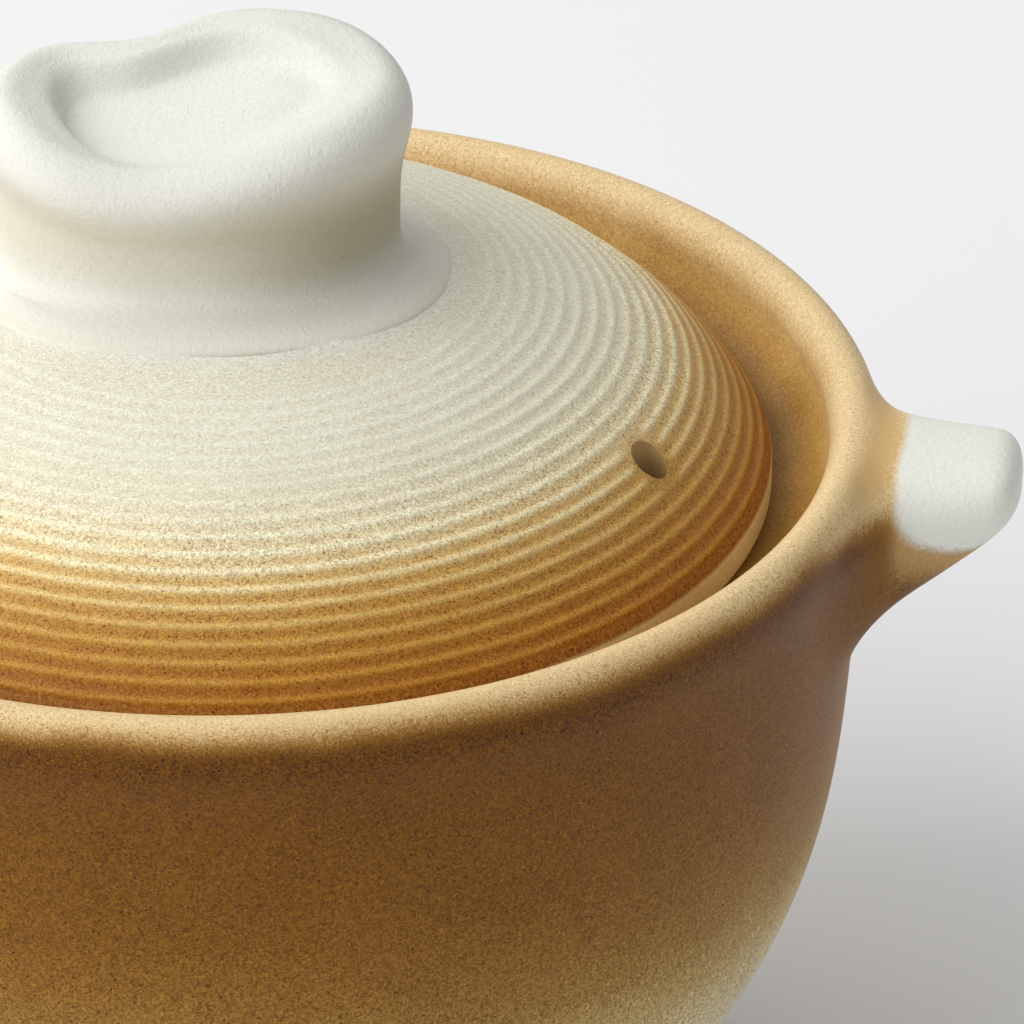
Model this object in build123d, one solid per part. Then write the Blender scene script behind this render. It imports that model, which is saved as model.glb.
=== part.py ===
"""Stoneware rice pot: a deep round body with two lug ears, and a ridged dome lid with a hand-pressed knob.

Millimetres. Origin at the middle of the foot, on the surface the pot stands on. +Z is up, the ears lie on X.
The fired pot is the body with both ears luted to it, and the fired lid is the dome with its knob luted on.
The body is thrown in one piece. It is cut here into five plain bands, so that its inside stays open to touch.
"""
from build123d import *
from math import ceil, copysign, cos, exp, hypot, pi, radians, sin
import os

# The pot's body, thrown on the wheel
RIM_RADIUS = 98.5
RIM_HEIGHT = 128.0
RIM_THICKNESS = 8.0
RIM_ROLL = 5.5
WALL = 9.0
FLOOR = 9.5
FLOOR_DISH = 1.2
# The outer wall from the foot up, as shares of the rim's radius and height
WALL_SHARES = (
    (0.626, 0.117), (0.771, 0.234), (0.886, 0.391), (0.940, 0.547), (0.961, 0.703), (0.973, 0.820), (0.986, 0.898),
)
# How far the wall leans out where it leaves the foot, for each unit that it rises
WALL_LEAN_SHARE = 1.3
# How many points of the outer wall, counted up from the foot, the inner wall follows
INNER_WALL_COUNT = 5
# Where the floor starts to curl up, as a share of the lowest inner wall point's radius
FLOOR_EDGE_SHARE = 0.62

# How high the lower band of the wall reaches, as a share of the rim's height
LOWER_WALL_SHARE = 0.3125

# The turned foot ring
FOOT_RADIUS = 50.0
FOOT_WIDTH = 8.0
FOOT_HEIGHT = 6.0
FOOT_RECESS = 3.5
FOOT_ROUND = 1.2

# The gallery inside the rim: a gutter wall that leans in, and the ledge that the lid sits on
GUTTER_LEAN = 5.0
GALLERY_CORNER = 3.0
SEAT_DEPTH = 13.0
LEDGE_WIDTH = 9.5
LEDGE_DEPTH = 7.0
LEDGE_ROUND = 1.5

# The lid, which has play all round inside the gallery
GALLERY_PLAY = 3.5
LID_EDGE = 5.0
LID_EDGE_ROUND = 0.8
LID_WALL = 7.0
DOME_HEIGHT = 30.8
CROWN_RADIUS = 31.0
# How the dome climbs from its edge to the crown: shares of its height for t, t squared and t cubed
DOME_SHARES = (2.285, -1.990, 0.705)
UNDERSIDE_POINTS = 9

# The throwing ridges round the lid, from just outside the knob's flange to the edge
RIDGE_MARGIN = 2.8
RIDGE_PITCH = 3.2
RIDGE_DEPTH = 0.45
# How strong the innermost ridge is beside the ones half way down, which are full
RIDGE_FADE_SHARE = 0.4
DOME_STEP = 0.25

# The steam vent, bored straight down near the lid's edge
VENT_DIAMETER = 5.0
VENT_INSET = 12.4
VENT_TURN = -19.2

# The two lug ears
EAR_LENGTH = 21.3
EAR_ROOT_WIDTH = 37.6
EAR_TIP_WIDTH = 19.2
EAR_FLARE = 8.0
EAR_FLARE_LENGTH = 2.5
EAR_ROOT_DROP = 0.6
EAR_TIP_DROP = 1.8
EAR_ROOT_DEPTH = 30.0
EAR_TIP_DEPTH = 10.4
EAR_UNDERSIDE_POWER = 0.9
EAR_NOSE = 5.2
EAR_NOSE_DROP = 1.5
EAR_NOSE_POWER = 3.0
EAR_ROUNDNESS = 2.6
# Where the ear's sections stand along it, from its root to its tip
EAR_SECTION_SHARES = (0.0, 0.06, 0.13, 0.22, 0.36, 0.55, 0.75, 0.86, 0.93, 0.97, 0.99)
EAR_SECTION_POINTS = 16

# The knob, pressed by hand into a bean shape with a thumb hollow
KNOB_LENGTH = 64.4
KNOB_WIDTH = 40.4
KNOB_HEIGHT = 35.1
KNOB_OFFSET = -3.8
KNOB_TURN = 6.0
KNOB_LIP = 4.4
KNOB_LIP_DROP = 6.6
# The round flange that the knob stands on reaches past its ends and its sides
FLANGE_ENDS = 3.7
FLANGE_SIDES = 10.2
FLANGE_SHIFT = 1.8
FLANGE_THICKNESS = 1.6
FLANGE_ROUND = 1.0
# How deep the flange is let into the crown where it stands lowest
FLANGE_SINK = 1.0
NECK_FILLET = 3.2
# Ten stations round the knob from its right end, turning left as seen from above.
# x and y are shares of half the length and width, z of the height above the flange.
CREST_SHARES = (
    (0.860, -0.030, 0.897), (0.714, 0.574, 0.972), (0.391, 0.787, 1.000), (0.056, 0.772, 0.977),
    (-0.286, 0.554, 0.926), (-0.658, 0.525, 0.906), (-0.860, 0.030, 0.869), (-0.658, -0.594, 0.778),
    (-0.177, -0.851, 0.709), (0.491, -0.693, 0.818),
)
NECK_SHARES = (
    (0.938, -0.050), (0.801, 0.520), (0.460, 0.817), (0.087, 0.856), (-0.286, 0.792),
    (-0.674, 0.545), (-0.913, -0.025), (-0.658, -0.545), (-0.149, -0.832), (0.540, -0.762),
)
HOLLOW_SHARES = (
    (0.661, -0.025, 0.869), (0.547, 0.356, 0.937), (0.320, 0.545, 0.960), (0.040, 0.554, 0.932),
    (-0.286, 0.376, 0.872), (-0.584, 0.386, 0.826), (-0.708, 0.100, 0.795), (-0.550, -0.446, 0.729),
    (-0.161, -0.703, 0.681), (0.366, -0.505, 0.789),
)
FLOOR_SHARES = (
    (0.429, 0.000), (0.382, 0.198), (0.227, 0.347), (0.025, 0.371), (-0.255, 0.248),
    (-0.460, 0.228), (-0.559, 0.030), (-0.453, -0.337), (-0.161, -0.520), (0.196, -0.347),
)
LIP_SHARES = (1.0, 0.95, 1.0, 1.0, 0.91, 0.86, 0.95, 0.73, 0.64, 0.77)
# The hollow's flat floor: its height at the knob's middle, and how it climbs along x and along y
HOLLOW_FLOOR_SHARE = 0.760
HOLLOW_CLIMB_SHARES = (0.16, 0.20)
# Rings up the neck: how far each stands out from it and up from the flange, in neck fillets
NECK_RING_SHARES = ((0.75, 0.0), (0.3, 0.3), (0.08, 0.8), (0.0, 1.6), (0.0, 2.7))
# Rings part of the way from one outline to the next: how far along in plan, and how far in height
SHOULDER_RING_SHARES = (0.55, 0.6)
CREST_RING_SHARES = (0.55, 0.35)
HOLLOW_RING_SHARES = (0.5, 0.75)
# The lip's upper turn: how much of the lip and of its drop is left there
LIP_TURN_SHARES = (0.74, 0.33)

SEAT_HEIGHT = RIM_HEIGHT - SEAT_DEPTH
RIM_MIDDLE = RIM_RADIUS - RIM_THICKNESS / 2
GALLERY_RADIUS = RIM_RADIUS - RIM_THICKNESS - GUTTER_LEAN
LEDGE_RADIUS = GALLERY_RADIUS - LEDGE_WIDTH
LID_RADIUS = GALLERY_RADIUS - GALLERY_PLAY
LID_TOP_EDGE = SEAT_HEIGHT + LID_EDGE
FLANGE_LENGTH = KNOB_LENGTH + 2 * FLANGE_ENDS
FLANGE_WIDTH = KNOB_WIDTH + 2 * FLANGE_SIDES
FLANGE_OFFSET = KNOB_OFFSET + FLANGE_SHIFT
RIDGE_START = FLANGE_LENGTH / 2 + RIDGE_MARGIN
VENT_RADIUS = LID_RADIUS - VENT_INSET
EAR_REACH = RIM_RADIUS + EAR_LENGTH


def at(radius, height):
    """A point of a turned profile."""
    return Vector(radius, 0, height)


def turned(edges):
    """The solid that a closed profile sweeps round the vertical axis."""
    return revolve(Face(Wire(edges)), Axis.Z)


def corner(start, finish, middle):
    """A quarter round between two profile points, about the given middle."""
    radius = hypot(start[0] - middle[0], start[1] - middle[1])
    bisector = (start[0] + finish[0] - 2 * middle[0], start[1] + finish[1] - 2 * middle[1])
    reach = radius / hypot(*bisector)
    crest = at(middle[0] + bisector[0] * reach, middle[1] + bisector[1] * reach)
    return ThreePointArc(at(*start), crest, at(*finish))


def inset(points, depth):
    """Profile points moved inwards, square to the line through their neighbours."""
    moved = []
    for before, point, after in zip(points, points[1:], points[2:]):
        along = (after[0] - before[0], after[1] - before[1])
        reach = depth / hypot(*along)
        moved.append((point[0] - along[1] * reach, point[1] + along[0] * reach))
    return moved


def foot_edges(foot_top):
    """The underside from the axis outwards, over the foot ring and up to where the wall starts."""
    inside = FOOT_RADIUS - FOOT_WIDTH
    inner_round = (inside + FOOT_ROUND, FOOT_ROUND)
    outer_round = (FOOT_RADIUS - FOOT_ROUND, FOOT_ROUND)
    return [
        Line(at(0, FOOT_RECESS), at(inside, FOOT_RECESS)),
        Line(at(inside, FOOT_RECESS), at(inside, FOOT_ROUND)),
        corner((inside, FOOT_ROUND), (inner_round[0], 0), inner_round),
        Line(at(inner_round[0], 0), at(outer_round[0], 0)),
        corner((outer_round[0], 0), (FOOT_RADIUS, FOOT_ROUND), outer_round),
        Line(at(FOOT_RADIUS, FOOT_ROUND), at(*foot_top)),
    ]


def gallery_edges():
    """From the inside of the rim down the gutter, across the ledge and down its inner face."""
    gutter_foot = (GALLERY_RADIUS, SEAT_HEIGHT + GALLERY_CORNER)
    gutter_round = (GALLERY_RADIUS - GALLERY_CORNER, SEAT_HEIGHT + GALLERY_CORNER)
    ledge_round = (LEDGE_RADIUS + LEDGE_ROUND, SEAT_HEIGHT - LEDGE_ROUND)
    rim_inside = at(RIM_RADIUS - RIM_THICKNESS, RIM_HEIGHT - RIM_ROLL)
    return [
        Spline(rim_inside, at(*gutter_foot), tangents=[at(0, -1), at(0, -1)]),
        corner(gutter_foot, (gutter_round[0], SEAT_HEIGHT), gutter_round),
        Line(at(gutter_round[0], SEAT_HEIGHT), at(ledge_round[0], SEAT_HEIGHT)),
        corner((ledge_round[0], SEAT_HEIGHT), (LEDGE_RADIUS, ledge_round[1]), ledge_round),
        Line(at(LEDGE_RADIUS, ledge_round[1]), at(LEDGE_RADIUS, SEAT_HEIGHT - LEDGE_DEPTH)),
    ]


def pot_profile():
    foot_top = (FOOT_RADIUS, FOOT_HEIGHT)
    rim_side = (RIM_RADIUS, RIM_HEIGHT - RIM_ROLL)
    outer = [foot_top] + [(r * RIM_RADIUS, z * RIM_HEIGHT) for r, z in WALL_SHARES] + [rim_side]
    inner = inset(outer, WALL)[:INNER_WALL_COUNT]
    inner.reverse()
    floor = FOOT_RECESS + FLOOR
    ledge_foot = (LEDGE_RADIUS, SEAT_HEIGHT - LEDGE_DEPTH)
    blend = ((ledge_foot[0] + inner[0][0]) / 2, (ledge_foot[1] + inner[0][1]) / 2)
    floor_edge = (inner[-1][0] * FLOOR_EDGE_SHARE, floor + FLOOR_DISH)
    inside = [ledge_foot, blend] + inner + [floor_edge, (0, floor)]
    rim_top = EllipticalCenterArc((RIM_MIDDLE, rim_side[1]), RIM_THICKNESS / 2, RIM_ROLL, arc_size=180)
    return [
        *foot_edges(foot_top),
        Spline(*[at(*p) for p in outer], tangents=[at(WALL_LEAN_SHARE, 1), at(0, 1)]),
        Plane.XZ * rim_top,
        *gallery_edges(),
        Spline(*[at(*p) for p in inside], tangents=[at(0, -1), at(-1, 0)]),
        Line(at(0, floor), at(0, FOOT_RECESS)),
    ]


def make_bands(body):
    """The thrown body as a floor, two bands of wall, the ledge and the rim, which meet face to face."""
    bands = []
    for height in (FOOT_RECESS + FLOOR + FLOOR_DISH, RIM_HEIGHT * LOWER_WALL_SHARE, SEAT_HEIGHT - LEDGE_DEPTH):
        level = Plane.XY.offset(height)
        bands.append(split(body, bisect_by=level, keep=Keep.BOTTOM).solid())
        body = split(body, bisect_by=level, keep=Keep.TOP).solid()
    core = Cylinder(GALLERY_RADIUS - GALLERY_CORNER, 3 * RIM_HEIGHT)
    bands.append((body & core).solid())
    bands.append((body - core).solid())
    return bands


def ear_section(share):
    """One upright closed section of the ear, at a share of the way from its root to its tip."""
    along = RIM_MIDDLE + (EAR_REACH - RIM_MIDDLE) * share
    into_nose = max(0, along - (EAR_REACH - EAR_NOSE)) / EAR_NOSE
    closing = (1 - into_nose ** EAR_NOSE_POWER) ** (1 / EAR_NOSE_POWER)
    top = RIM_HEIGHT - EAR_ROOT_DROP - (EAR_TIP_DROP - EAR_ROOT_DROP) * share
    thinning = 1 - (1 - share) ** EAR_UNDERSIDE_POWER
    bottom = RIM_HEIGHT - EAR_ROOT_DEPTH + (EAR_ROOT_DEPTH - EAR_TIP_DEPTH) * thinning
    flare = EAR_FLARE * exp(-(along - RIM_MIDDLE) / EAR_FLARE_LENGTH)
    half_width = (EAR_ROOT_WIDTH + (EAR_TIP_WIDTH - EAR_ROOT_WIDTH) * share) / 2
    middle = (top + bottom) / 2 - EAR_NOSE_DROP * (1 - closing)
    points = []
    for k in range(EAR_SECTION_POINTS):
        turn = 2 * pi * (k + 0.5) / EAR_SECTION_POINTS
        reach = half_width + flare * (1 + min(0, sin(turn)))
        across = copysign(abs(cos(turn)) ** (2 / EAR_ROUNDNESS), cos(turn))
        up = copysign(abs(sin(turn)) ** (2 / EAR_ROUNDNESS), sin(turn))
        points.append(Vector(along, reach * closing * across, middle + (top - bottom) / 2 * closing * up))
    return Wire(Spline(*points, periodic=True))


def make_ear(pot_body):
    """The right ear, cut to the wall and rim that it is luted to."""
    blank = Solid.make_loft([ear_section(share) for share in EAR_SECTION_SHARES])
    return (blank - pot_body).solids().sort_by(Axis.X)[-1]


def dome_slope(radius):
    """How steeply the dome falls outwards at a radius."""
    t = (LID_RADIUS - radius) / (LID_RADIUS - CROWN_RADIUS)
    climb = DOME_SHARES[0] + 2 * DOME_SHARES[1] * t + 3 * DOME_SHARES[2] * t * t
    return climb * DOME_HEIGHT / (LID_RADIUS - CROWN_RADIUS)


def dome(radius):
    """Height of the lid's outer skin above its edge, with the ridges left out."""
    if radius < CROWN_RADIUS:
        return DOME_HEIGHT + dome_slope(CROWN_RADIUS) * (CROWN_RADIUS ** 2 - radius ** 2) / (2 * CROWN_RADIUS)
    t = (LID_RADIUS - radius) / (LID_RADIUS - CROWN_RADIUS)
    return DOME_HEIGHT * (DOME_SHARES[0] * t + DOME_SHARES[1] * t ** 2 + DOME_SHARES[2] * t ** 3)


def skin(radius, depth=0):
    """A point of the lid's outer skin, or of a surface that lies that far under it."""
    slope = dome_slope(max(radius, CROWN_RADIUS)) * min(1, radius / CROWN_RADIUS)
    fall = hypot(1, slope)
    return (radius - depth * slope / fall, LID_TOP_EDGE + dome(radius) - depth / fall)


def groove_radii():
    """Where the grooves between the throwing ridges lie: evenly spaced along the dome."""
    span = LID_RADIUS - LID_EDGE_ROUND - RIDGE_START
    steps = ceil(span / DOME_STEP)
    radii = [RIDGE_START + span * k / steps for k in range(steps + 1)]
    lengths = [0]
    for inner, outer in zip(radii, radii[1:]):
        lengths.append(lengths[-1] + hypot(outer - inner, dome(outer) - dome(inner)))
    count = round(lengths[-1] / RIDGE_PITCH)
    grooves = []
    for k in range(count + 1):
        wanted = lengths[-1] * k / count
        j = min(range(len(lengths)), key=lambda i: abs(lengths[i] - wanted))
        grooves.append(radii[j])
    return grooves


def ridge(inner, outer, height):
    """One rounded ridge between two grooves of the lid's profile."""
    crest = skin((inner + outer) / 2, -height)
    return ThreePointArc(at(*skin(inner)), at(*crest), at(*skin(outer)))


def ridge_edges(grooves):
    """The ridges from the knob outwards, growing to full strength half way down."""
    edges = []
    count = len(grooves) - 1
    for k, (inner, outer) in enumerate(zip(grooves, grooves[1:])):
        strength = RIDGE_FADE_SHARE + (1 - RIDGE_FADE_SHARE) * min(1, 2 * k / count)
        edges.append(ridge(inner, outer, RIDGE_DEPTH * strength))
    return edges


def lid_underside():
    """Points under the dome, one wall below its skin, from the edge to where the crown starts."""
    reach = LID_RADIUS - LID_WALL
    step = (reach - CROWN_RADIUS) / (UNDERSIDE_POINTS - 1)
    return [skin(reach - step * k, LID_WALL) for k in range(UNDERSIDE_POINTS)]


def lid_profile():
    grooves = groove_radii()
    crown = [skin(0), skin(CROWN_RADIUS / 2), skin(CROWN_RADIUS), skin(RIDGE_START)]
    side_top = at(LID_RADIUS, LID_TOP_EDGE - LID_EDGE_ROUND)
    foot_round = (LID_RADIUS - LID_EDGE_ROUND, SEAT_HEIGHT + LID_EDGE_ROUND)
    under = lid_underside()
    lip = at(under[0][0] + LID_EDGE_ROUND, SEAT_HEIGHT)
    return [
        Spline(*[at(*p) for p in crown], tangents=[at(1, 0), at(1, -dome_slope(RIDGE_START))]),
        *ridge_edges(grooves),
        Spline(at(*skin(grooves[-1])), side_top, tangents=[at(1, -dome_slope(grooves[-1])), at(0, -1)]),
        Line(side_top, at(LID_RADIUS, foot_round[1])),
        corner((LID_RADIUS, foot_round[1]), (foot_round[0], SEAT_HEIGHT), foot_round),
        Line(at(foot_round[0], SEAT_HEIGHT), lip),
        Line(lip, at(*under[0])),
        Spline(*[at(*p) for p in under], tangents=[at(-1, dome_slope(under[0][0])), at(-1, 0)]),
        Line(at(*under[-1]), at(0, under[-1][1])),
        Line(at(0, under[-1][1]), at(*crown[0])),
    ]


def flange_disc(height):
    """The oval disc of the knob's flange, from the flat seat that it stands in up to a height."""
    foot = knob_base() - FLANGE_SINK
    oval = Ellipse(FLANGE_LENGTH / 2, FLANGE_WIDTH / 2)
    return Pos(FLANGE_OFFSET, 0, foot) * extrude(oval, amount=height - foot)


def knob_base():
    """The height of the lid's skin under the ends of the knob's flange."""
    return LID_TOP_EDGE + dome(FLANGE_LENGTH / 2)


def make_lid():
    """The dome with its vent and with the flat seat that the knob's flange is luted into."""
    blank = turned(lid_profile())
    turn = radians(VENT_TURN)
    vent = Cylinder(VENT_DIAMETER / 2, 2 * (LID_EDGE + DOME_HEIGHT))
    place = Pos(VENT_RADIUS * cos(turn), VENT_RADIUS * sin(turn), LID_TOP_EDGE)
    seat = Rot(0, 0, KNOB_TURN) * flange_disc(knob_base() + DOME_HEIGHT)
    return (blank - place * vent - seat).solid()


def knob_plan(shares):
    """Plan points of the knob from shares of half its length and width."""
    return [(KNOB_OFFSET + s[0] * KNOB_LENGTH / 2, s[1] * KNOB_WIDTH / 2) for s in shares]


def grown(points, amounts):
    """A closed plan outline moved outwards by an amount at each of its points."""
    moved = []
    for k, point in enumerate(points):
        before, after = points[k - 1], points[(k + 1) % len(points)]
        along = (after[0] - before[0], after[1] - before[1])
        reach = amounts[k] / hypot(*along)
        moved.append((point[0] + along[1] * reach, point[1] - along[0] * reach))
    return moved


def ring(plan, heights):
    """A closed ring of points from plan points and one height, or a height for each."""
    if isinstance(heights, list):
        return [Vector(x, y, z) for (x, y), z in zip(plan, heights)]
    return [Vector(x, y, heights) for x, y in plan]


def between(first, second, shares):
    """A ring between two others, at one share of the way in plan and another in height."""
    points = []
    for a, b in zip(first, second):
        x = a.X + (b.X - a.X) * shares[0]
        y = a.Y + (b.Y - a.Y) * shares[0]
        points.append(Vector(x, y, a.Z + (b.Z - a.Z) * shares[1]))
    return points


def knob_rings():
    """Closed rings of the knob from the top of its flange, over the lip and down into the thumb hollow."""
    base = knob_base()
    foot = base + FLANGE_THICKNESS
    neck = knob_plan(NECK_SHARES)
    crest = knob_plan(CREST_SHARES)
    floor = knob_plan(FLOOR_SHARES)
    high = [base + s[2] * KNOB_HEIGHT for s in CREST_SHARES]
    rim = [base + s[2] * KNOB_HEIGHT for s in HOLLOW_SHARES]
    middle = base + HOLLOW_FLOOR_SHARE * KNOB_HEIGHT
    low = [middle + HOLLOW_CLIMB_SHARES[0] * (x - KNOB_OFFSET) + HOLLOW_CLIMB_SHARES[1] * y for x, y in floor]
    lip = [KNOB_LIP * share for share in LIP_SHARES]
    lip_turn = [amount * LIP_TURN_SHARES[0] for amount in lip]

    neck_rings = []
    for out, up in NECK_RING_SHARES:
        neck_rings.append(ring(grown(neck, [NECK_FILLET * out] * len(neck)), foot + NECK_FILLET * up))
    shoulder = ring(neck, foot + NECK_FILLET)
    widest = ring(grown(crest, lip), [z - KNOB_LIP_DROP for z in high])
    crest_ring = ring(crest, high)
    hollow_ring = ring(knob_plan(HOLLOW_SHARES), rim)
    floor_ring = ring(floor, low)
    return [
        *neck_rings,
        between(shoulder, widest, SHOULDER_RING_SHARES),
        widest,
        ring(grown(crest, lip_turn), [z - KNOB_LIP_DROP * LIP_TURN_SHARES[1] for z in high]),
        crest_ring,
        between(crest_ring, hollow_ring, CREST_RING_SHARES),
        hollow_ring,
        between(hollow_ring, floor_ring, HOLLOW_RING_SHARES),
        floor_ring,
    ]


def make_knob():
    """The knob on its flange, turned as it was luted."""
    disc = flange_disc(knob_base() + FLANGE_THICKNESS)
    disc = fillet(disc.edges().group_by(Axis.Z)[-1], FLANGE_ROUND)
    rings = [Wire(Spline(*points, periodic=True)) for points in knob_rings()]
    return (Rot(0, 0, KNOB_TURN) * (disc + Solid.make_loft(rings))).solid()


def make_parts():
    pot_body = turned(pot_profile()).solid()
    floor, lower_wall, wall, ledge, rim = make_bands(pot_body)
    ear_right = make_ear(pot_body)
    return {
        "pot_floor": floor,
        "pot_lower_wall": lower_wall,
        "pot_wall": wall,
        "pot_ledge": ledge,
        "pot_rim": rim,
        "ear_right": ear_right,
        "ear_left": mirror(ear_right, about=Plane.YZ),
        "lid": make_lid(),
        "lid_knob": make_knob(),
    }


os.makedirs("parts", exist_ok=True)
for name, part in make_parts().items():
    part.label = name
    export_step(part, f"parts/{name}.step")
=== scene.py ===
"""The looks of a stoneware rice pot: one skin for the pot and its ears, a ridged lid and a pressed knob."""
from functools import partialmethod
from math import cos, hypot, pi, radians, sin

import bpy
import numpy as np
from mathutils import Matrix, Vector


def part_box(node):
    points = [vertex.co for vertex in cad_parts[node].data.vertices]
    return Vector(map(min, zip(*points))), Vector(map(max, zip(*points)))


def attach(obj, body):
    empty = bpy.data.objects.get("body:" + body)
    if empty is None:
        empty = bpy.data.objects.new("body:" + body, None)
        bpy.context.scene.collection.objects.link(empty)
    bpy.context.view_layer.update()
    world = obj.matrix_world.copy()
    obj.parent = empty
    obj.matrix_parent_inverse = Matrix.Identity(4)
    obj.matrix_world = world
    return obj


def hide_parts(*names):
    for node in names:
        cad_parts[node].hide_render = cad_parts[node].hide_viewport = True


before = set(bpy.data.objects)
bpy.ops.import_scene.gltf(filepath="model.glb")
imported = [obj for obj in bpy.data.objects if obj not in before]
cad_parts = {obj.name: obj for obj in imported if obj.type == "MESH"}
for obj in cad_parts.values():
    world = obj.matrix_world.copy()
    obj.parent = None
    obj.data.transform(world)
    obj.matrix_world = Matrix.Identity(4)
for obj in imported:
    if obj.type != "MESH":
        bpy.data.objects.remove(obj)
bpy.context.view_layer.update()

MM = 0.001

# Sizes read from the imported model, in millimetres
POT_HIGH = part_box("pot_rim")[1] / MM
EAR_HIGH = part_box("ear_right")[1] / MM
LID_LOW, LID_HIGH = (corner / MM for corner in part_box("lid"))
RIM_RADIUS = POT_HIGH.x
RIM_HEIGHT = POT_HIGH.z
LID_RADIUS = LID_HIGH.x
SEAT_HEIGHT = LID_LOW.z
EAR_REACH = EAR_HIGH.x

# The thrown pot
RIM_THICKNESS = 8.0
RIM_ROLL = 5.5
WALL = 9.0
FLOOR = 9.5
FLOOR_DISH = 1.2
# Radius and height of the wall's points, as shares of the rim's
WALL_SHARES = (
    (0.626, 0.117), (0.771, 0.234), (0.886, 0.391), (0.940, 0.547),
    (0.961, 0.703), (0.973, 0.820), (0.986, 0.898),
)
WALL_LEAN_SHARE = 1.3
INNER_WALL_COUNT = 5
FLOOR_EDGE_SHARE = 0.62
FOOT_RADIUS = 50.0
FOOT_WIDTH = 8.0
FOOT_HEIGHT = 6.0
FOOT_RECESS = 3.5
FOOT_ROUND = 1.2
GUTTER_GAP = 0.4
LEDGE_INSET = 6.0
LEDGE_DEPTH = 7.0
LEDGE_ROUND = 1.5

# The ears, whose clay is smoothed into the rim and wall
EAR_ROOT_WIDTH = 37.6
EAR_TIP_WIDTH = 19.2
EAR_FLARE = 9.0
EAR_FLARE_LENGTH = 3.0
EAR_FLARE_START = 2.5
EAR_ROOT_DROP = 0.9
EAR_TIP_DROP = 1.8
EAR_ROOT_DEPTH = 30.0
EAR_TIP_DEPTH = 10.4
EAR_UNDERSIDE_POWER = 0.9
EAR_NOSE = 5.2
EAR_NOSE_DROP = 1.5
EAR_NOSE_POWER = 3.0
EAR_ROUNDNESS = 2.6
EAR_BLEND = 9.0
EAR_BLEND_TOP = 1.6
EAR_BLEND_DEPTH = 9.0
EAR_MARGIN = 9.0
EAR_RUN_ON = 0.3
EAR_COLUMNS = 45
SIDE_COLUMNS = 100
PATCH_ROOT_SHARE = 0.62
PATCH_ROWS_PAST_CREST = 3
# Where on its patch a first guess of the ear reaches its full length, and where it starts to narrow
SEED_FULL_LENGTH = 0.85
SEED_NARROWS = 0.55
# How points are moved onto the ear's form and evened out, turn and turn about
SETTLE_ROUNDS = 5
SETTLE_AGAIN_ROUNDS = 2
SETTLE_PROBE = 0.02
SETTLE_STRIDE = 2.0
SETTLE_SLOPE = 0.2
RELAX_ROUNDS = 6
RELAX_SHARE = 0.6

# The white glaze that each ear's tip was dipped in: where it starts, its lowest line, how round its corner
# is, and how much further out it starts for each millimetre towards the back
WHITE_FROM = 101.8
WHITE_LOWEST = 114.7
WHITE_CORNER = 13.0
WHITE_SLANT = 0.05

# The lid
LID_EDGE = 5.0
LID_EDGE_ROUND = 0.8
LID_WALL = 7.0
DOME_HEIGHT = 30.8
CROWN_RADIUS = 31.0
# The three terms of the dome's rise from its edge to its crown
DOME_SHARES = (2.285, -1.990, 0.705)
RIDGE_START = 38.7
RIDGE_PITCH = 2.7
RIDGE_DEPTH = 0.27
RIDGE_FADE = 1.2
RIDGE_WOBBLE = 0.12
RIDGE_POWER = 1.7
RIDGE_FIRST_SHARE = 0.3
RIDGE_SEED = 4.0
# Each ridge strays over lengths of this size, and is weak or strong in patches of this size
RIDGE_STRAY_SIZE = 30.0
RIDGE_PATCH_SIZE = 14.0
RIDGE_STRENGTH = (0.3, 1.4)
LID_COLUMNS = 256
VENT_DIAMETER = 5.0
VENT_INSET = 12.4
VENT_TURN = -19.2
VENT_EDGE = 0.06
VENT_STRETCH = 1.28
# Ridges start at the first distance from the vent's middle and are whole at the second
VENT_SMOOTH = (3.2, 5.6)
VENT_COLUMNS = 72
# Waves round the vent: how many, how deep and how far turned
VENT_WAVES = ((2, 0.022, 0.6), (3, 0.014, 2.0), (7, 0.008, 0.0))
# Rings of the vent's cutter: how high over the lid's skin, and how wide
VENT_RINGS = (
    (-2.4 * LID_WALL, 0.97), (-1.0, 0.985), (0.0, 1.0), (0.3, 1.0 + VENT_EDGE), (3.0, 1.0 + 3 * VENT_EDGE),
)

# The knob and the flange that it stands on
KNOB_LENGTH = 64.4
KNOB_WIDTH = 40.4
KNOB_HEIGHT = 35.07
KNOB_OFFSET = -3.8
KNOB_TURN = 6.0
KNOB_LIP = 4.4
KNOB_LIP_DROP = 6.2
FLANGE_ENDS = 3.7
FLANGE_SIDES = 10.2
FLANGE_SHIFT = 1.8
FLANGE_THICKNESS = 1.6
FLANGE_EDGE = 3.2
FLANGE_CLIMB = 0.3
FLANGE_LAP = 1.0
NECK_FILLET = 3.2
# Outlines of the knob from its right end, as shares of half its length and width, and of its height
CREST_SHARES = (
    (0.860, -0.030, 0.897), (0.714, 0.574, 0.972), (0.391, 0.787, 1.000), (0.056, 0.772, 0.977),
    (-0.286, 0.554, 0.926), (-0.658, 0.525, 0.906), (-0.860, 0.030, 0.869), (-0.658, -0.594, 0.778),
    (-0.177, -0.851, 0.709), (0.491, -0.693, 0.818),
)
NECK_SHARES = (
    (0.925, -0.050), (0.801, 0.520), (0.460, 0.817), (0.087, 0.856), (-0.286, 0.792),
    (-0.674, 0.545), (-0.913, -0.025), (-0.658, -0.545), (-0.149, -0.790), (0.520, -0.715),
)
HOLLOW_SHARES = (
    (0.661, -0.025, 0.869), (0.547, 0.356, 0.937), (0.320, 0.545, 0.960), (0.040, 0.554, 0.932),
    (-0.286, 0.376, 0.880), (-0.550, 0.372, 0.840), (-0.655, 0.080, 0.808), (-0.520, -0.430, 0.738),
    (-0.161, -0.680, 0.688), (0.366, -0.505, 0.789),
)
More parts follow.
